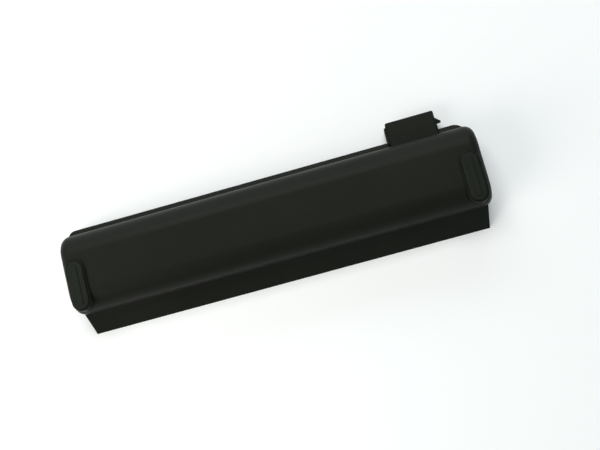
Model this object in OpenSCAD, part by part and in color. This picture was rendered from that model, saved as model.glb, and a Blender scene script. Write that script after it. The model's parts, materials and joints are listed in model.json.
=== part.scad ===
// Laptop battery pack: two rows of three round cells in a black moulded case,
// lying on its flat inner face with the bulged outer face and its two rubber feet up.
// X runs along the pack, +Y points to the side that goes into the laptop first.

/* [Cells] */
// Diameter of one cell over its sleeve
cell_d = 18.3; // [18:0.1:18.8]
// Length of one cell over its positive button
cell_len = 65; // [64.8:0.1:66]
// Gap between the two rows of cells
row_gap = 0.1; // [0.1:0.1:0.8]
// Gap between two cells in a row, filled by a folded strip
joint_gap = 1.2; // [1.1:0.1:2]
// Height of the positive button above the cell's crimped shoulder
button_h = 0.7; // [0.5:0.1:0.9]

/* [Case] */
// Wall thickness of the outer case
wall = 1.2; // [1:0.1:1.5]
// Thickness of the flat inner cover
cover_t = 1.4; // [1:0.1:1.6]
// Clearance between the cells and the curved walls
cell_clear = 0.15; // [0.1:0.05:0.4]
// Room at each end of the cells for a strip and a foam pad
end_room = 1.1; // [0.9:0.1:2]
// Overhang of the bulge past each end of the flat body
overhang = 2.5; // [1.5:0.1:3]
// Radius that rounds the bulge's ends into its sides and top
end_r = 4.5; // [2:0.5:4.5]
// Height of the underside of the bulge's overhanging ends
overhang_z = 4; // [2:0.5:7.5]
// Height of the sill where the rear slope meets the bulge
sill_h = 8.5; // [7.5:0.1:9.5]
// Run of the rear slope, from the sill to the sharp rear edge
slope_run = 9.65; // [8:0.05:12]
// How much shorter each end of the rear edge is than the flat body
slope_draft = 1.1; // [0.3:0.1:1.5]
// How much longer each end of the lip is than the rear of the flat body
end_flare = 1; // [0:0.1:1.5]
// Depth of the lip in front of the bulge
lip_run = 3.6; // [3.4:0.05:5]
// Height of the lip where it meets the bulge
lip_h = 6; // [5.8:0.1:6.6]
// Fall of the lip's top towards its front edge
lip_drop = 0.4; // [0:0.05:0.6]
// Radius of the lip's front top edge
lip_edge_r = 0.5; // [0.3:0.1:0.8]
// Radius of the lip's left corner, seen from above
lip_corner_left_r = 4; // [2:0.5:8]
// Radius of the lip's right corner, beside the connector
lip_corner_right_r = 7; // [2:0.5:8]
// Width of the rim that surrounds the cover
rim = 0.6; // [0.4:0.1:0.8]
// Gap between the cover's edge and the rim
cover_gap = 0.1; // [0.05:0.05:0.2]

/* [Feet] */
// Width of a rubber foot
foot_w = 8; // [6:0.1:8.4]
// Length of a rubber foot
foot_l = 23.4; // [18:0.1:24]
// Distance of a foot's centre line from the end of the case
foot_from_end = 6.8; // [6.2:0.1:8]
// Distance from the bulge's rear wall to the rear end of a foot
foot_from_rear = 1.5; // [1.5:0.1:4]
// Width of the moulded rim around a foot
foot_rim = 0.8; // [0.7:0.1:1.2]
// Height of a foot's moulded seat above the bulge
seat_rise = 1; // [0.6:0.1:1.6]
// Thickness of a foot
foot_t = 1.5; // [1.3:0.1:2]
// Height of a foot above the rim of its seat
foot_proud = 0.6; // [0.3:0.1:0.8]
// Width of the ridge along a foot's middle
ridge_w = 2.4; // [1.4:0.1:3]
// Height of that ridge
ridge_h = 0.35; // [0.1:0.05:0.4]
// Thickness of the adhesive film under a foot
film_t = 0.1; // [0.05:0.05:0.2]

/* [Connector] */
// Width of the connector hood
hood_w = 24.1; // [20:0.1:28]
// Reach of the hood in front of the lip
hood_run = 9.3; // [8.6:0.05:11]
// Height of the top of the hood
hood_h = 7.5; // [7.2:0.1:8]
// Wall thickness of the hood
hood_wall = 1; // [0.8:0.1:1.1]
// Distance from the hood to the end of the case
hood_from_end = 14.9; // [12:0.1:20]
// Width of the key rib on the hood's left side
key_w = 0.95; // [0.6:0.05:2]
// Width of the rib behind the barb on the hood's right side
stop_w = 0.25; // [0.2:0.05:1]
// Reach of the barb on the hood's right side
barb_w = 2.5; // [1.5:0.1:3]
// Distance from the hood's inner wall to the middle of the end slot
slot_from_wall = 2.05; // [1.2:0.05:2.4]
// Width of a contact slot
slot_w = 1.1; // [1:0.05:1.4]
// Depth of a contact slot
slot_depth = 7; // [6:0.1:7.2]

/* [Electronics] */
// Thickness of the circuit board
board_t = 0.8; // [0.6:0.1:1]
// Height of the board above the cover
board_lift = 0.4; // [0.3:0.1:0.5]
// Thickness of the nickel strips
strip_t = 0.2; // [0.15:0.05:0.3]
// Half height of the nickel strips on the cell ends
strip_half = 3.5; // [3:0.1:4]
// Thickness of the adhesive tape under the cells
tape_t = 0.2; // [0.1:0.05:0.3]
// Radius of the insulated lead
lead_r = 0.6; // [0.5:0.05:0.7]

/* [Hidden] */
$fn = 48;
CELLS_IN_ROW = 3;
SLOTS = 7;
CELLS = ["cell_1", "cell_2", "cell_3", "cell_4", "cell_5", "cell_6"];
RINGS = ["cell_ring_1", "cell_ring_2", "cell_ring_3", "cell_ring_4", "cell_ring_5", "cell_ring_6"];
CONTACTS = ["contact_1", "contact_2", "contact_3", "contact_4", "contact_5", "contact_6", "contact_7"];

eps = 0.01;
case_black = [0.115, 0.117, 0.105];
cover_black = [0.10, 0.10, 0.095];
rubber_black = [0.085, 0.095, 0.085];
connector_black = [0.06, 0.06, 0.06];
nickel = [0.72, 0.71, 0.68];
sleeve_blue = [0.16, 0.42, 0.56];
paper_white = [0.86, 0.86, 0.82];
board_green = [0.05, 0.30, 0.16];
chip_grey = [0.13, 0.13, 0.14];
gold = [0.83, 0.66, 0.30];
foam_grey = [0.30, 0.30, 0.31];
tape_yellow = [0.80, 0.72, 0.48];

// Section across the pack, with y = 0 between the two rows of cells
cell_r = cell_d / 2;
row_y = (cell_d + row_gap) / 2;
cell_z = cover_t + tape_t + cell_r;
bulge_r = cell_r + cell_clear + wall;
bulge_y = row_y + bulge_r;
case_top = cell_z + bulge_r;
slope_angle = atan2(sill_h, slope_run);
slope_wall = wall / sin(slope_angle);
rear_y = -bulge_y - slope_run;
lip_y = bulge_y + lip_run;
lip_front_h = lip_h - lip_drop;
hood_y = lip_y + hood_run;
frame_y = -(rear_y + hood_y) / 2;

// Stations along the pack
joint_x = (cell_len + joint_gap) / 2;
stack_half = (CELLS_IN_ROW * cell_len + (CELLS_IN_ROW - 1) * joint_gap) / 2;
body_half = stack_half + end_room + wall;
rear_half = body_half - slope_draft;
lip_half = body_half + end_flare;
case_half = body_half + overhang;

// Cover seat
cover_rear_y = rear_y + cover_t / tan(slope_angle) + rim;

// Feet
foot_x = case_half - foot_from_end;
foot_y = -bulge_y + foot_from_rear + foot_l / 2;
foot_gap = 0.2;
seat_edge_r = 0.6;
seat_top = case_top + seat_rise;
foot_floor = seat_top + foot_proud - foot_t;

// Connector
hood_x1 = case_half - hood_from_end;
hood_x0 = hood_x1 - hood_w;
hood_mid_x = (hood_x0 + hood_x1) / 2;
hood_base = 0.8;
side_rib_drop = 0.6;
barb_back = 6.5;
block_gap = 0.1;
block_reach = 1.1;
block_recess = 0.25;
block_rear_y = bulge_y - block_reach;
block_step_y = lip_y - rim + block_gap;
block_front_y = hood_y - block_recess;
block_top = hood_h - hood_wall - block_gap;
slot_pitch = (hood_w - 2 * hood_wall - 2 * slot_from_wall) / (SLOTS - 1);
slot_frame = 0.8;
slot_floor = hood_base + slot_frame;
slot_top = block_top - slot_frame;
tail_w = 0.6;
tail_t = 0.25;
tail_gap = 0.05;
tail_reach = 1.4;
solder_y = block_rear_y - tail_reach;

// Board, from the first joint of the cells to just past the connector
board_z = cover_t + board_lift;
board_top = board_z + board_t;
board_clear = 0.3;
board_rear_y = row_y + sqrt(pow(cell_r, 2) - pow(cell_z - board_top, 2)) + board_clear;
board_front_gap = 0.1;
board_front_y = lip_y - wall - board_front_gap;
board_end_gap = 3;
board_past_joint = 4;
board_left_x = -joint_x - board_past_joint;
board_right_x = stack_half - board_end_gap;

// Faces of a skin over a row of rings that all have the same number of points
function skin_faces(rings, points) = concat(
    [[for (i = [0 : points - 1]) i]],
    [[for (i = [points - 1 : -1 : 0]) (rings - 1) * points + i]],
    [for (r = [0 : rings - 2]) for (i = [0 : points - 1])
        let (j = (i + 1) % points, a = r * points + i, b = r * points + j)
        each [[a, a + points, b], [b, a + points, b + points]]]);

module skin(rings) {
    polyhedron(points = [for (r = rings) each r], faces = skin_faces(len(rings), len(rings[0])));
}

// What is drawn in the [y, z] plane, run along X between two stations
module along_x(x0, x1) {
    translate([x0, 0, 0]) rotate([90, 0, 90]) linear_extrude(x1 - x0) children();
}

// What is drawn in the [x, z] plane, run along Y between two stations
module along_y(y0, y1) {
    translate([0, y1, 0]) rotate([90, 0, 0]) linear_extrude(y1 - y0) children();
}

// Material outside a quarter round of radius r whose corner is at (x, y); sx and sy point inwards
module corner_cut(x, y, sx, sy, r) {
    difference() {
        translate([sx > 0 ? x - eps : x - r, sy > 0 ? y - eps : y - r]) square(r + eps);
        translate([x + sx * r, y + sy * r]) circle(r);
    }
}

// Rectangle with its corners rounded, the radii in the order rear left, rear right, front right, front left
module round_rect(x0, x1, y0, y1, radii) {
    difference() {
        translate([x0, y0]) square([x1 - x0, y1 - y0]);
        if (radii[0] > 0) corner_cut(x0, y0, 1, 1, radii[0]);
        if (radii[1] > 0) corner_cut(x1, y0, -1, 1, radii[1]);
        if (radii[2] > 0) corner_cut(x1, y1, -1, -1, radii[2]);
        if (radii[3] > 0) corner_cut(x0, y1, 1, -1, radii[3]);
    }
}

// Rounded slot shape whose two end centres lie apart along Y
module stadium(width, length) {
    for (s = [-1, 1]) translate([0, s * (length - width) / 2]) circle(d = width);
    square([width, length - width], center = true);
}

// Solid with a stadium outline whose half section is the child, drawn from the middle outwards
module pill(apart) {
    for (s = [-1, 1]) translate([0, s * apart / 2, 0]) rotate_extrude() children();
    rotate([90, 0, 0]) linear_extrude(apart, center = true) {
        children();
        mirror([1, 0, 0]) children();
    }
}

// Outline of the bulge seen from above, in from the outside by inset
module bulge_plan(inset) {
    half = case_half - inset;
    width = bulge_y - inset;
    r = end_r - inset;
    round_rect(-half, half, -width, width, [r, r, r, r]);
}

// Bulge around the two rows of cells, in from the outside by inset and standing on base.
// Each shoulder turns about its row's axis, and the ends round into the sides all the way over.
module bulge(inset, base) {
    half = case_half - inset;
    r = end_r - inset;
    width = bulge_y - inset;
    difference() {
        linear_extrude(cell_z) bulge_plan(inset);
        translate([-case_half, -bulge_y, -base]) cube([2 * case_half, 2 * bulge_y, 2 * base]);
    }
    intersection() {
        translate([0, 0, cell_z]) rotate([0, 90, 0]) pill(2 * row_y)
            round_rect(0, bulge_r - inset, -half, half, [0, r, r, 0]);
        translate([-half, -width, cell_z]) cube([2 * half, 2 * width, bulge_r]);
    }
}

// Outline of the flat body seen from above, in from the outside by inset
module body_plan(inset) {
    front = lip_half - inset;
    left = lip_corner_left_r - inset;
    right = lip_corner_right_r - inset;
    intersection() {
        polygon([[-rear_half + inset, rear_y], [rear_half - inset, rear_y],
            [body_half - inset, -bulge_y], [front, lip_y - inset],
            [-front, lip_y - inset], [-body_half + inset, -bulge_y]]);
        round_rect(-front, front, rear_y, lip_y - inset, [0, 0, right, left]);
    }
}

// Flat body under the bulge: the rear slope, the sill, and the lip in front
module flat_body() {
    intersection() {
        along_x(-lip_half, lip_half) difference() {
            polygon([[rear_y, 0], [-bulge_y, sill_h], [bulge_y, sill_h],
                [bulge_y, lip_h], [lip_y, lip_front_h], [lip_y, 0]]);
            corner_cut(lip_y, lip_front_h + lip_edge_r * lip_drop / lip_run, -1, -1, lip_edge_r);
        }
        linear_extrude(sill_h) body_plan(0);
    }
}

// Room inside the case for the cells, the wedge behind them and the board in front
module case_room() {
    bay_half = body_half - wall;
    bay_rear = -bulge_y + wall;
    bay_front = bulge_y - wall;
    wedge_top = (bay_rear - rear_y - slope_wall) * tan(slope_angle);
    bulge(wall, overhang_z + wall);
    linear_extrude(cell_z) intersection() {
        bulge_plan(wall);
        translate([-bay_half, bay_rear]) square([2 * bay_half, bay_front - bay_rear]);
    }
    intersection() {
        along_x(-lip_half, lip_half) {
            polygon([[rear_y + slope_wall + cover_t / tan(slope_angle), cover_t],
                [bay_rear + eps, wedge_top], [bay_rear + eps, cover_t]]);
            translate([bay_front - eps, cover_t])
                square([lip_y - wall - bay_front + eps, lip_front_h - wall - cover_t]);
        }
        linear_extrude(sill_h) body_plan(wall);
    }
}

// Outline of the seat that the cover drops into, or of the cover with its gap
module cover_plan(gap) {
    intersection() {
        body_plan(rim + gap);
        translate([-case_half, cover_rear_y + gap]) square([2 * case_half, lip_y - cover_rear_y]);
    }
}

// Ribs across the wedge behind the cells
module wedge_ribs() {
    rib_t = 1;
    rib_count = 7;
    rib_from_end = 9.9;
    last_x = rear_half - rib_from_end;
    bay_rear = -bulge_y + wall;
    for (i = [0 : rib_count - 1]) {
        x = (2 * i / (rib_count - 1) - 1) * last_x;
        along_x(x - rib_t / 2, x + rib_t / 2)
            polygon([[rear_y + slope_wall, cover_t + cover_gap], [-bulge_y, sill_h - wall / 2],
                [bay_rear, sill_h - wall / 2], [bay_rear, cover_t + cover_gap]]);
    }
}

// Blind pockets in the lip's front face, where the laptop's two latches engage
latch_from_end = 54;
latch_x = lip_half - latch_from_end;
latch_w = 12;
latch_h = 1.4;
latch_depth = 1.8;
latch_wall = 0.7;
latch_below_edge = 0.3;
latch_z = lip_front_h - lip_edge_r - latch_below_edge - latch_h;
module latch_boxes() {
    width = latch_w + 2 * latch_wall;
    floor_z = latch_z - latch_wall;
    for (s = [-1, 1]) translate([s * latch_x - width / 2, lip_y - latch_depth - latch_wall, floor_z])
        cube([width, latch_depth + latch_wall - eps, lip_front_h - lip_edge_r - floor_z]);
}
module latch_pockets() {
    for (s = [-1, 1]) translate([s * latch_x - latch_w / 2, lip_y - latch_depth, latch_z])
        cube([latch_w, latch_depth + 1, latch_h]);
}

// Raised seat that carries a foot level over the rounded rear shoulder
module foot_seat(s) {
    translate([s * foot_x, foot_y, cell_z]) pill(foot_l - foot_w)
        round_rect(0, foot_w / 2 + foot_rim, 0, seat_top - cell_z, [0, 0, seat_edge_r, 0]);
}

module foot_pocket(s) {
    translate([s * foot_x, foot_y, foot_floor - film_t]) linear_extrude(foot_t + film_t + 1)
        stadium(foot_w + 2 * foot_gap, foot_l + 2 * foot_gap);
}

// Hood over the connector, open to the front and to the inner face
module hood() {
    edge_r = 1;
    root_y = bulge_y - wall / 2;
    intersection() {
        along_y(root_y, hood_y) round_rect(hood_x0, hood_x1, hood_base, hood_h, [0, 0, edge_r, edge_r]);
        linear_extrude(hood_h) round_rect(hood_x0, hood_x1, root_y, hood_y, [0, 0, edge_r, edge_r]);
        along_x(hood_x0, hood_x1) round_rect(root_y, hood_y, hood_base, hood_h, [0, 0, edge_r / 2, 0]);
    }
    key_rib();
    stop_rib();
    barb();
}

// Rib on the hood's left side that stops short of its front
module key_rib() {
    key_back = 2.2;
    key_r = 0.5;
    translate([0, 0, hood_base]) linear_extrude(hood_h - side_rib_drop - hood_base)
        round_rect(hood_x0 - key_w, hood_x0 + eps, lip_y - wall, hood_y - key_back, [0, 0, 0, key_r]);
}

// Small hook on the hood's right side, sloped on its front, with a thin rib behind it
module barb() {
    barb_y = hood_y - barb_back;
    barb_h = 2.5;
    barb_drop = 1.5;
    barb_lean = 0.3;
    tip_w = 0.5;
    translate([0, 0, hood_h - barb_drop - barb_h]) linear_extrude(barb_h)
        polygon([[hood_x1 - eps, barb_y], [hood_x1 + barb_w, barb_y + barb_lean],
            [hood_x1 + barb_w, barb_y + barb_lean + tip_w], [hood_x1 - eps, barb_y + barb_w + tip_w]]);
}
module stop_rib() {
    translate([hood_x1 - eps, lip_y - wall, hood_base])
        cube([stop_w + eps, hood_run - barb_back + wall + barb_w / 4, hood_h - side_rib_drop - hood_base]);
}

module hood_room() {
    root_y = bulge_y - wall - eps;
    translate([hood_x0 + hood_wall, root_y, -1])
        cube([hood_w - 2 * hood_wall, hood_y - root_y + 1, hood_h - hood_wall + 1]);
}

module outer_case() {
    color(case_black) difference() {
        union() {
            difference() {
                union() {
                    bulge(0, overhang_z);
                    flat_body();
                    for (s = [-1, 1]) foot_seat(s);
                    hood();
                }
                case_room();
            }
            wedge_ribs();
            latch_boxes();
        }
        hood_room();
        latch_pockets();
        translate([0, 0, -1]) linear_extrude(cover_t + 1) cover_plan(0);
        for (s = [-1, 1]) foot_pocket(s);
    }
}

// Cover with the low rests that carry the board
module inner_cover() {
    rest_w = 2;
    rests = 4;
    rest_from_end = 3;
    rest_margin = 1;
    first_x = board_left_x + rest_from_end;
    step = (board_right_x - rest_from_end - rest_w - first_x) / (rests - 1);
    color(cover_black) {
        linear_extrude(cover_t) cover_plan(cover_gap);
        for (i = [0 : rests - 1])
            translate([first_x + step * i, board_rear_y + rest_margin, cover_t - eps])
                cube([rest_w, board_front_y - board_rear_y - 2 * rest_margin, board_lift + eps]);
    }
}

module foot(s) {
    edge_r = 0.7;
    ridge_from_end = 2;
    ridge_sunk = 0.2;
    ridge_base = foot_t - ridge_sunk;
    color(rubber_black) translate([s * foot_x, foot_y, foot_floor]) {
        pill(foot_l - foot_w) round_rect(0, foot_w / 2, 0, foot_t, [0, 0, edge_r, 0]);
        translate([0, 0, ridge_base]) pill(foot_l - 2 * ridge_from_end - ridge_w)
            round_rect(0, ridge_w / 2, 0, foot_t + ridge_h - ridge_base, [0, 0, ridge_h, 0]);
    }
}

module foot_film(s) {
    film_margin = 0.5;
    color(tape_yellow) translate([s * foot_x, foot_y, foot_floor - film_t])
        linear_extrude(film_t) stadium(foot_w - 2 * film_margin, foot_l - 2 * film_margin);
}

function slot_x(i) = hood_mid_x + (i - (SLOTS - 1) / 2) * slot_pitch;

module connector_block() {
    x0 = hood_x0 + hood_wall + block_gap;
    x1 = hood_x1 - hood_wall - block_gap;
    color(connector_black) difference() {
        along_x(x0, x1) polygon([[block_rear_y, board_top], [block_rear_y, block_top],
            [block_front_y, block_top], [block_front_y, hood_base],
            [block_step_y, hood_base], [block_step_y, board_top]]);
        for (i = [0 : SLOTS - 1]) {
            translate([slot_x(i) - slot_w / 2, block_front_y - slot_depth, slot_floor - 2])
                cube([slot_w, slot_depth + 1, slot_top - slot_floor + 2]);
            translate([slot_x(i) - tail_w / 2 - tail_gap, block_rear_y - 1, board_top - eps])
                cube([tail_w + 2 * tail_gap, block_front_y - slot_depth - block_rear_y + 1 + eps,
                    tail_t + tail_gap + eps]);
        }
    }
}

// Fork contact: two leaves in the slot, a web between them, and a tail to the board
module contact(i) {
    leaf_t = 0.25;
    leaf_recess = 1.2;
    head_room = 0.2;
    web_t = 0.4;
    y0 = block_front_y - slot_depth + tail_gap;
    fork_w = slot_w - 2 * tail_gap;
    fork_h = slot_top - slot_floor - head_room;
    color(gold) translate([slot_x(i), 0, 0]) {
        for (s = [-1, 1]) translate([s * (fork_w - leaf_t) / 2 - leaf_t / 2, y0, slot_floor])
            cube([leaf_t, slot_depth - leaf_recess, fork_h]);
        translate([-fork_w / 2, y0, slot_floor]) cube([fork_w, web_t, fork_h]);
        translate([-tail_w / 2, solder_y, board_top]) cube([tail_w, y0 - solder_y + web_t / 2, tail_t]);
    }
}

// Cells 1 to 3 are the rear row from left to right, and 4 to 6 the front row
function cell_x(i) = ((i % CELLS_IN_ROW) - 1) * (cell_len + joint_gap);
function cell_y(i) = i < CELLS_IN_ROW ? -row_y : row_y;

module cell(i) {
    edge = 0.8;
    groove_r = 0.5;
    groove_from_top = 3;
    body_len = cell_len - button_h;
    button_r = 3;
    color(sleeve_blue) translate([cell_x(i) - cell_len / 2, cell_y(i), cell_z]) rotate([0, 90, 0])
        rotate_extrude($fn = 64) difference() {
            union() {
                square([cell_r - edge, body_len]);
                translate([0, edge]) square([cell_r, body_len - 2 * edge]);
                for (h = [edge, body_len - edge]) translate([cell_r - edge, h]) circle(edge, $fn = 24);
                square([button_r, cell_len]);
            }
            translate([cell_r, body_len - groove_from_top]) circle(groove_r, $fn = 24);
            translate([-2, -1]) square([2, cell_len + 2]);
        }
}

// Paper washer on the crimped shoulder around the positive button
module cell_ring(i) {
    ring_t = 0.2;
    ring_margin = 1;
    ring_hole_r = 3.6;
    color(paper_white) translate([cell_x(i) + cell_len / 2 - button_h, cell_y(i), cell_z])
        rotate([0, 90, 0]) difference() {
            cylinder(r = cell_r - ring_margin, h = ring_t);
            translate([0, 0, -1]) cylinder(r = ring_hole_r, h = ring_t + 2);
        }
}

// Strip across both rows of cells at station x, thickness t
strip_past_axis = 4;
strip_reach = row_y + strip_past_axis;
tab_margin = 0.4;
tab_y = board_rear_y + tab_margin;
tab_w = 3;
leg_root = 1;
module cross_strip(x, t) {
    translate([x, -strip_reach, cell_z - strip_half]) cube([t, 2 * strip_reach, 2 * strip_half]);
}

// Leg from a strip down to the board, with a foot of length reach along X
module strip_leg(x, reach) {
    translate([x, strip_reach - leg_root, board_top])
        cube([strip_t, tab_y + tab_w - strip_reach + leg_root, cell_z - board_top]);
    translate([min(x, x + reach), tab_y, board_top])
        cube([abs(reach) + (reach < 0 ? strip_t : 0), tab_w, strip_t]);
}

// Strip folded back on itself between two cells, so that it joins one pair to the next
module joint_strip(x) {
    color(nickel) {
        cross_strip(x - joint_gap / 2, strip_t);
        cross_strip(x + joint_gap / 2 - strip_t, strip_t);
        translate([x - joint_gap / 2, strip_reach - strip_t, cell_z - strip_half])
            cube([joint_gap, strip_t, 2 * strip_half]);
        strip_leg(x + joint_gap / 2 - strip_t, tab_w);
    }
}

module strip_positive() {
    color(nickel) {
        cross_strip(stack_half, strip_t);
        strip_leg(stack_half, -board_end_gap - tab_w);
    }
}

// The lead runs in the bay's front corner, below the front cells
lead_sway = 0.5;
lead_wall_gap = 0.2;
lead_y = bulge_y - wall - lead_r - lead_sway - lead_wall_gap;
lead_z = board_top + lead_r;
module strip_negative() {
    color(nickel) {
        cross_strip(-stack_half - strip_t, strip_t);
        translate([-stack_half - strip_t, strip_reach - leg_root, lead_z - lead_r])
            cube([strip_t, lead_y + lead_r - strip_reach + leg_root, cell_z - lead_z + lead_r]);
    }
}

// Insulated lead from the negative strip to the board, with its slack taken up in a slow wave
lead_on_board = 3;
lead_end_x = board_left_x + lead_on_board;
module negative_lead() {
    steps = 12;
    sides = 8;
    span = lead_end_x + stack_half;
    rings = [for (i = [0 : steps]) let (u = i / steps, y = lead_y + lead_sway * pow(sin(180 * u), 2))
        [for (k = [0 : sides - 1]) let (a = 360 * k / sides)
            [-stack_half + span * u, y + lead_r * sin(a), lead_z + lead_r * cos(a)]]];
    color("black") skin(rings);
}

module end_pad(s) {
    pad_t = end_room - strip_t;
    pad_lift = 1.8;
    pad_half = strip_reach - 1;
    pad_z0 = cover_t + pad_lift;
    translate([s > 0 ? stack_half + strip_t : -stack_half - strip_t - pad_t, -pad_half, pad_z0])
        color(foam_grey) cube([pad_t, 2 * pad_half, cell_z + strip_half - pad_z0]);
}

module tape(y) {
    tape_w = 6;
    tape_half = stack_half - 4;
    color(tape_yellow) translate([-tape_half, y - tape_w / 2, cover_t])
        cube([2 * tape_half, tape_w, tape_t]);
}

module circuit_board() {
    color(board_green) translate([board_left_x, board_rear_y, board_z])
        cube([board_right_x - board_left_x, board_front_y - board_rear_y, board_t]);
}

// Parts on the board, all with their front side on one line.
// Each stands at a share of the way from the board's free end to the connector.
chip_margin = 2;
chip_front_y = board_front_y - chip_margin;
function board_x(share) = board_left_x + share * (hood_x0 - board_left_x);
module package(x, w, l, h) {
    translate([x - w / 2, chip_front_y - l, board_top]) cube([w, l, h]);
}
module gauge_chip() {
    color(chip_grey) package(board_x(0.48), 9.7, 4.4, 1);
}
module protector_chip() {
    color(chip_grey) package(board_x(0.58), 3, 3, 0.9);
}
module sense_resistor() {
    color(chip_grey) package(board_x(0.64), 3.2, 3, 0.6);
}
module switching_mosfet(share) {
    color(chip_grey) package(board_x(share), 5, 3.8, 1.2);
}
module chip_fuse() {
    color(paper_white) package(board_x(0.95), 3.8, 2.8, 0.9);
}

module capacitors() {
    count = 6;
    spacing = 3;
    color("tan") for (i = [0 : count - 1]) package(board_x(0.12) + spacing * i, 2, 1.25, 0.8);
}

// Bead against a front cell, on two short leads that stand on the board
module thermistor() {
    bead_r = 0.9;
    bead_gap = 0.05;
    angle = 38;
    wire_r = 0.2;
    wire_x = 0.45;
    reach = cell_r + bead_r + bead_gap;
    y = row_y + reach * cos(angle);
    z = cell_z - reach * sin(angle);
    color("darkgoldenrod") translate([board_x(0.3), y, 0]) {
        translate([0, 0, z]) sphere(bead_r);
        for (s = [-1, 1]) translate([s * wire_x, 0, board_top]) cylinder(r = wire_r, h = z - board_top);
    }
}

module placed() {
    translate([0, frame_y, 0]) children();
}

placed() outer_case();
placed() inner_cover();
placed() foot(-1);  // foot_left
placed() foot(1);  // foot_right
placed() foot_film(-1);  // foot_film_left
placed() foot_film(1);  // foot_film_right
placed() connector_block();
placed() strip_negative();
placed() joint_strip(-joint_x);  // strip_joint_1
placed() joint_strip(joint_x);  // strip_joint_2
placed() strip_positive();
placed() end_pad(-1);  // end_pad_left
placed() end_pad(1);  // end_pad_right
placed() tape(row_y);  // tape_front
placed() tape(-row_y);  // tape_rear
placed() circuit_board();
placed() gauge_chip();
placed() protector_chip();
placed() switching_mosfet(0.81);  // charge_mosfet
placed() switching_mosfet(0.88);  // discharge_mosfet
placed() chip_fuse();
placed() sense_resistor();
placed() capacitors();
placed() thermistor();
placed() negative_lead();
for (i = [0 : len(CELLS) - 1]) {
    placed() cell(i);
    placed() cell_ring(i);
}
for (i = [0 : len(CONTACTS) - 1])
    placed() contact(i);
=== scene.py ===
"""Laptop battery pack: the finishes of its moulded case, feet, connector and inner parts."""
import json
import math

import bpy
from mathutils import Matrix, Vector

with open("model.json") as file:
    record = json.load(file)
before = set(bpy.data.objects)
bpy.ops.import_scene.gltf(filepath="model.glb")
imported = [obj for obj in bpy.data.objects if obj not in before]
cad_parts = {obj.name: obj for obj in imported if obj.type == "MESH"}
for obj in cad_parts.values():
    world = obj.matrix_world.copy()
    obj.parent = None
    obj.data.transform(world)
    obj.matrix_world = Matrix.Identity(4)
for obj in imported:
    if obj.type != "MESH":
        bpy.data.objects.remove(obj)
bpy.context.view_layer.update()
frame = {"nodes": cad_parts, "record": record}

MM = 0.001
MICRON = 0.000001
nodes = frame["nodes"]

# Painted shade in gaps and corners: how wide a gap counts, and how much of the colour is left in
# it.
CREVICE = 1.0 * MM
PAINTED_CREVICE_SHADE = 0.1
EDGE_SAMPLES = 8


def start_finish(name, roughness, metallic=0.0, specular=0.5):
    """An empty finish with its shader and the piece's own coordinates, ready for a pattern."""
    finish = bpy.data.materials.new(name)
    finish.use_nodes = True
    tree = finish.node_tree
    tree.nodes.clear()
    shader = tree.nodes.new("ShaderNodeBsdfPrincipled")
    output = tree.nodes.new("ShaderNodeOutputMaterial")
    place = tree.nodes.new("ShaderNodeTexCoord")
    tree.links.new(shader.outputs["BSDF"], output.inputs["Surface"])
    shader.inputs["Roughness"].default_value = roughness
    shader.inputs["Metallic"].default_value = metallic
    shader.inputs["Specular IOR Level"].default_value = specular
    return finish, tree, shader, place.outputs["Object"]


def noise(tree, place, scale, detail=2.0, stretch=(1, 1, 1)):
    """A cloud pattern; scale is in lumps per metre, and stretch squeezes it along an axis."""
    mapping = tree.nodes.new("ShaderNodeMapping")
    mapping.inputs["Scale"].default_value = stretch
    cloud = tree.nodes.new("ShaderNodeTexNoise")
    cloud.inputs["Scale"].default_value = scale
    cloud.inputs["Detail"].default_value = detail
    tree.links.new(place, mapping.inputs["Vector"])
    tree.links.new(mapping.outputs["Vector"], cloud.inputs["Vector"])
    return cloud.outputs["Fac"]


def blend_colours(tree, pattern, low, high, dark, light):
    """Colour between dark and light as the pattern goes from low to high."""
    ramp = tree.nodes.new("ShaderNodeValToRGB")
    first, last = ramp.color_ramp.elements
    first.position, last.position = low, high
    first.color, last.color = (*dark, 1), (*light, 1)
    tree.links.new(pattern, ramp.inputs["Fac"])
    return ramp.outputs["Color"]


def between(tree, pattern, start, end, low, high):
    """Values from low to high as the pattern goes from start to end."""
    fit = tree.nodes.new("ShaderNodeMapRange")
    for name, value in (("From Min", start), ("From Max", end), ("To Min", low), ("To Max", high)):
        fit.inputs[name].default_value = value
    tree.links.new(pattern, fit.inputs["Value"])
    return fit.outputs["Result"]


def spread(tree, pattern, low, high):
    """The pattern's middle range stretched to values between low and high."""
    return between(tree, pattern, 0.3, 0.7, low, high)


def calculate(tree, operation, first, second):
    """First and second put through one sum; second may be a plain number."""
    node = tree.nodes.new("ShaderNodeMath")
    node.operation = operation
    tree.links.new(first, node.inputs[0])
    if isinstance(second, (int, float)):
        node.inputs[1].default_value = second
    else:
        tree.links.new(second, node.inputs[1])
    return node.outputs["Value"]


def raise_grain(tree, shader, pattern, depth, strength=1.0, soft_edge=0.0):
    """Bump of the given depth in metres, over edges broken to a radius of soft_edge."""
    bump = tree.nodes.new("ShaderNodeBump")
    bump.inputs["Distance"].default_value = depth
    bump.inputs["Strength"].default_value = strength
    tree.links.new(pattern, bump.inputs["Height"])
    tree.links.new(bump.outputs["Normal"], shader.inputs["Normal"])
    if soft_edge > 0:
        edge = tree.nodes.new("ShaderNodeBevel")
        edge.samples = EDGE_SAMPLES
        edge.inputs["Radius"].default_value = soft_edge
        tree.links.new(edge.outputs["Normal"], bump.inputs["Normal"])


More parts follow.
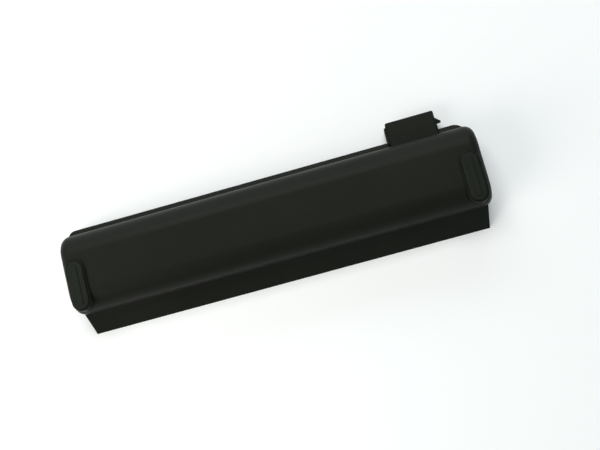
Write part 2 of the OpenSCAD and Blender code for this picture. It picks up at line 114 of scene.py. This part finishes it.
def paint_crevice_shade(tree, tint, reach, colour):
    """Paints shade into the tint, towards a dark form of the colour, in gaps and corners within
    reach.
    """
    corners = tree.nodes.new("ShaderNodeAmbientOcclusion")
    corners.samples = EDGE_SAMPLES
    corners.inputs["Distance"].default_value = reach
    mix = tree.nodes.new("ShaderNodeMix")
    mix.data_type = "RGBA"
    factor, first, second = (mix.inputs[i] for i in (0, 6, 7))
    first.default_value = (*(c * PAINTED_CREVICE_SHADE for c in colour), 1)
    tree.links.new(corners.outputs["AO"], factor)
    tree.links.new(tint, second)
    return mix.outputs[2]


def shades(colour, spread_by):
    """A darker and a lighter shade of a colour."""
    return [c * (1 - spread_by) for c in colour], [c * (1 + spread_by) for c in colour]


def mottled(name, colour, rough, grain, depth, vary=0.08, cloud=60, specular=0.5, soft_edge=0.0,
            crevice=0.0):
    """A finish with a slow cloud in its colour, a roughness that wanders and a fine grain."""
    finish, tree, shader, place = start_finish(name, rough, 0.0, specular)
    slow = noise(tree, place, cloud)
    fine = noise(tree, place, grain)
    dark, light = shades(colour, vary)
    tint = blend_colours(tree, slow, 0.35, 0.65, dark, light)
    # painted shade in gaps and corners, within the given reach
    if crevice > 0:
        tint = paint_crevice_shade(tree, tint, crevice, colour)
    tree.links.new(tint, shader.inputs["Base Color"])
    tree.links.new(spread(tree, slow, rough - 0.04, rough + 0.04), shader.inputs["Roughness"])
    raise_grain(tree, shader, fine, depth, soft_edge=soft_edge)
    return finish


def drawn_metal(name, colour, rough, along):
    """Metal with fine lines along one axis, as rolled or drawn sheet has."""
    finish, tree, shader, place = start_finish(name, rough, metallic=1.0)
    across_lines, along_lines = 400, 12
    stretch = [across_lines] * 3
    stretch["XYZ".index(along)] = along_lines
    lines = noise(tree, place, 12, 3, stretch)
    dark, light = shades(colour, 0.07)
    tree.links.new(blend_colours(tree, lines, 0.3, 0.7, dark, light), shader.inputs["Base Color"])
    tree.links.new(spread(tree, lines, rough - 0.08, rough + 0.08), shader.inputs["Roughness"])
    raise_grain(tree, shader, lines, 4 * MICRON)
    return finish


def cellular(name, colour, rough, bubbles, depth):
    """Foam: small closed bubbles over the surface."""
    finish, tree, shader, place = start_finish(name, rough)
    pores = tree.nodes.new("ShaderNodeTexVoronoi")
    pores.inputs["Scale"].default_value = bubbles
    tree.links.new(place, pores.inputs["Vector"])
    dark, light = shades(colour, 0.25)
    tint = blend_colours(tree, pores.outputs["Distance"], 0.1, 0.7, dark, light)
    tree.links.new(tint, shader.inputs["Base Color"])
    raise_grain(tree, shader, pores.outputs["Distance"], depth)
    return finish


def laminate(name, colour, rough, threads_per_metre=500):
    """Solder mask over woven glass: the weave shows as a faint grid."""
    finish, tree, shader, place = start_finish(name, rough)
    threads = []
    for axis in ("X", "Y"):
        wave = tree.nodes.new("ShaderNodeTexWave")
        wave.bands_direction = axis
        wave.inputs["Scale"].default_value = threads_per_metre
        tree.links.new(place, wave.inputs["Vector"])
        threads.append(wave.outputs["Fac"])
    weave = calculate(tree, "MULTIPLY", *threads)
    dark, light = shades(colour, 0.12)
    tint = blend_colours(tree, weave, 0.1, 0.9, dark, light)
    tree.links.new(tint, shader.inputs["Base Color"])
    raise_grain(tree, shader, weave, 10 * MICRON)
    return finish


def moulded_black(name, colour, rough, specular, soft_edge, pits_per_metre=4000, depth=18 * MICRON):
    """Black moulding: spark-eroded grain, a shade and a gloss that wander slowly, painted shade in
    its corners and gaps.
    """
    finish, tree, shader, place = start_finish(name, rough, 0.0, specular)
    slow = noise(tree, place, 28, 3)
    grain = noise(tree, place, 4600, 2)
    pits = tree.nodes.new("ShaderNodeTexVoronoi")
    pits.inputs["Scale"].default_value = pits_per_metre
    tree.links.new(place, pits.inputs["Vector"])
    relief = calculate(tree, "ADD", grain, pits.outputs["Distance"])
    dark, light = shades(colour, 0.07)
    tint = blend_colours(tree, slow, 0.3, 0.7, dark, light)
    # painted shade in the corners and gaps of the moulding
    tint = paint_crevice_shade(tree, tint, CREVICE, colour)
    tree.links.new(tint, shader.inputs["Base Color"])
    tree.links.new(spread(tree, slow, rough - 0.035, rough + 0.035), shader.inputs["Roughness"])
    raise_grain(tree, shader, relief, depth, 0.8, soft_edge)
    return finish


case_black = moulded_black("case_black", (0.0132, 0.0143, 0.0110), 0.40, 0.065, 0.25 * MM)
cover_black = moulded_black("cover_black", (0.0142, 0.0151, 0.0119), 0.46, 0.06, 0.2 * MM)
plug_black = moulded_black("plug_black", (0.008, 0.008, 0.008), 0.42, 0.2, 0.1 * MM)
# the feet get painted shade in the gaps around them
foot_rubber = mottled("foot_rubber", (0.0136, 0.0162, 0.0120), 0.60, 1900, 30 * MICRON,
                      vary=0.1, cloud=90, specular=0.08, soft_edge=0.2 * MM, crevice=CREVICE)
film = mottled("film", (0.60, 0.48, 0.22), 0.38, 900, 6 * MICRON, 0.04, 120)
foam = cellular("foam", (0.074, 0.074, 0.080), 0.92, 2600, 150 * MICRON)
nickel = drawn_metal("nickel", (0.48, 0.46, 0.42), 0.30, "Y")
gold = drawn_metal("gold", (0.65, 0.39, 0.09), 0.24, "Y")
board_green = laminate("board_green", (0.004, 0.073, 0.021), 0.33)
chip_black = mottled("chip_black", (0.015, 0.015, 0.017), 0.55, 2400, 12 * MICRON)
ceramic = mottled("ceramic", (0.71, 0.71, 0.64), 0.35, 2600, 6 * MICRON, 0.03)
capacitor_tan = mottled("capacitor_tan", (0.39, 0.23, 0.107), 0.4, 2600, 6 * MICRON, 0.06)
bead_coat = mottled("bead_coat", (0.26, 0.119, 0.010), 0.25, 700, 8 * MICRON, 0.1)
lead_cover = mottled("lead_cover", (0.006, 0.006, 0.006), 0.38, 900, 6 * MICRON, 0.1)
sleeve = mottled("sleeve", (0.022, 0.147, 0.274), 0.3, 500, 10 * MICRON, 0.05, 70)
ring_paper = mottled("ring_paper", (0.70, 0.70, 0.64), 0.85, 1800, 20 * MICRON, 0.05, 500)

FINISH_OF_SLOT = {
    "case_plastic": case_black, "cover_plastic": cover_black, "connector_plastic": plug_black,
    "foot_rubber": foot_rubber, "adhesive_film": film, "foam": foam, "nickel": nickel,
    "contact_gold": gold, "board": board_green, "chip": chip_black, "ceramic_white": ceramic,
    "capacitor": capacitor_tan, "thermistor_bead": bead_coat, "lead_insulation": lead_cover,
    "cell_sleeve": sleeve, "ring_paper": ring_paper,
}
slot_of_node = {part["node"]: part["material_slot"] for part in frame["record"]["subparts"]}


def give_finish(piece, finish):
    """Puts one finish all over a piece."""
    piece.data.materials.clear()
    piece.data.materials.append(finish)
    for face in piece.data.polygons:
        face.material_index = 0


for node, slot in slot_of_node.items():
    give_finish(nodes[node], FINISH_OF_SLOT[slot])


# The camera: focal length and picture width in mm, its turns, and where it looks.
FOCAL, FILM_WIDTH = 51, 36
CAMERA_TILT, CAMERA_YAW, CAMERA_ROLL = (math.radians(a) for a in (8.949, 4.131, -14.757))
CAMERA_AWAY = 407.26 * MM
LOOKED_AT = Vector((12.48, -6.89, 12.0)) * MM

# The floor: half its width in metres, where its lift starts to grow, and the lift there and at
# its edge.
FLOOR_HALF, LIFT_FROM = 2.5, 0.1
FLOOR_LIFT, EDGE_LIFT = 0.12, 0.6

# The room: heights of a direction at which the walls end and the ceiling begins, and how bright
# each is.
WALL_TOP, CEILING_FROM = 0.04, 0.22
WALL_LIGHT, CEILING_LIGHT = 0.96, 0.11


def set_camera():
    """A long view from almost straight above, with the pack lying aslant across the picture."""
    back = Vector((math.sin(CAMERA_YAW) * math.cos(CAMERA_TILT), -math.sin(CAMERA_TILT),
                   math.cos(CAMERA_YAW) * math.cos(CAMERA_TILT))).normalized()
    level = (-back).cross(Vector((0, 1, 0))).normalized()
    upright = level.cross(-back)
    across = math.cos(CAMERA_ROLL) * level + math.sin(CAMERA_ROLL) * upright
    up = -math.sin(CAMERA_ROLL) * level + math.cos(CAMERA_ROLL) * upright
    lens = bpy.data.cameras.new("camera")
    lens.lens, lens.sensor_width = FOCAL, FILM_WIDTH
    lens.clip_start, lens.clip_end = 10 * MM, 20
    camera = bpy.data.objects.new("camera", lens)
    bpy.context.scene.collection.objects.link(camera)
    turn = Matrix((across, up, back)).transposed().to_4x4()
    camera.matrix_world = Matrix.Translation(LOOKED_AT + CAMERA_AWAY * back) @ turn
    bpy.context.scene.camera = camera


def lay_floor():
    """Matt white floor that keeps the pack's shadow. What is seen of it, directly or in a gloss,
    is lifted a little, and more towards its edge, where it meets the bright room."""
    corners = ((-1, -1), (1, -1), (1, 1), (-1, 1))
    mesh = bpy.data.meshes.new("floor")
    mesh.from_pydata([(x * FLOOR_HALF, y * FLOOR_HALF, 0) for x, y in corners],
                     [], [(0, 1, 2, 3)])
    floor = bpy.data.objects.new("floor", mesh)
    bpy.context.scene.collection.objects.link(floor)
    white, tree, shader, place = start_finish("white_floor", 0.9, 0.0, 0.0)
    tint = blend_colours(tree, noise(tree, place, 3), 0.3, 0.7, [0.92] * 3, [0.94] * 3)
    tree.links.new(tint, shader.inputs["Base Color"])
    shader.inputs["Emission Color"].default_value = (1, 1, 1, 1)
    seen = tree.nodes.new("ShaderNodeLightPath")
    lift = seen.outputs["Is Camera Ray"]
    for ray in ("Is Glossy Ray", "Is Transmission Ray"):
        lift = calculate(tree, "MAXIMUM", lift, seen.outputs[ray])
    away = tree.nodes.new("ShaderNodeVectorMath")
    away.operation = "LENGTH"
    tree.links.new(place, away.inputs[0])
    lift_there = between(tree, away.outputs["Value"], LIFT_FROM, FLOOR_HALF, FLOOR_LIFT, EDGE_LIFT)
    lift = calculate(tree, "MULTIPLY", lift, lift_there)
    tree.links.new(lift, shader.inputs["Emission Strength"])
    mesh.materials.append(white)


def hang_lamp(name, toward, away, width, height, watts, colour):
    """A soft lamp, width by height, that looks at the pack from the given direction."""
    light = bpy.data.lights.new(name, "AREA")
    light.shape = "RECTANGLE"
    light.size, light.size_y = width, height
    light.energy = watts
    light.color = colour
    lamp = bpy.data.objects.new(name, light)
    bpy.context.scene.collection.objects.link(lamp)
    way = Vector(toward).normalized()
    lamp.location = way * away
    lamp.rotation_mode = "QUATERNION"
    lamp.rotation_quaternion = way.to_track_quat("Z", "Y")


def fill_room():
    """A pale room: bright walls low down, all round, under a dim ceiling."""
    world = bpy.data.worlds.new("room")
    world.use_nodes = True
    bpy.context.scene.world = world
    tree = world.node_tree
    tree.nodes.clear()
    output = tree.nodes.new("ShaderNodeOutputWorld")
    light = tree.nodes.new("ShaderNodeBackground")
    light.inputs["Color"].default_value = (0.97, 0.99, 1, 1)
    toward = tree.nodes.new("ShaderNodeTexCoord")
    axes = tree.nodes.new("ShaderNodeSeparateXYZ")
    tree.links.new(toward.outputs["Generated"], axes.inputs["Vector"])
    strength = between(tree, axes.outputs["Z"], WALL_TOP, CEILING_FROM, WALL_LIGHT, CEILING_LIGHT)
    tree.links.new(strength, light.inputs["Strength"])
    tree.links.new(light.outputs["Background"], output.inputs["Surface"])


set_camera()
lay_floor()
fill_room()
hang_lamp("high_front_lamp", (0.0, 0.53, 0.85), 1.7, 1.7, 0.7, 20.5, (0.98, 1.0, 0.97))
hang_lamp("low_front_lamp", (0.0, 0.91, 0.41), 1.7, 1.7, 0.4, 9.0, (0.76, 0.90, 1.0))
hang_lamp("left_lamp", (-0.95, -0.38, 0.62), 0.5, 0.3, 0.3, 1.35, (1.0, 1.0, 0.95))
hang_lamp("right_rear_lamp", (0.8, -1.0, 0.42), 1.1, 0.4, 0.4, 1.3, (0.60, 0.84, 1.0))
bpy.context.scene.view_settings.view_transform = "Standard"
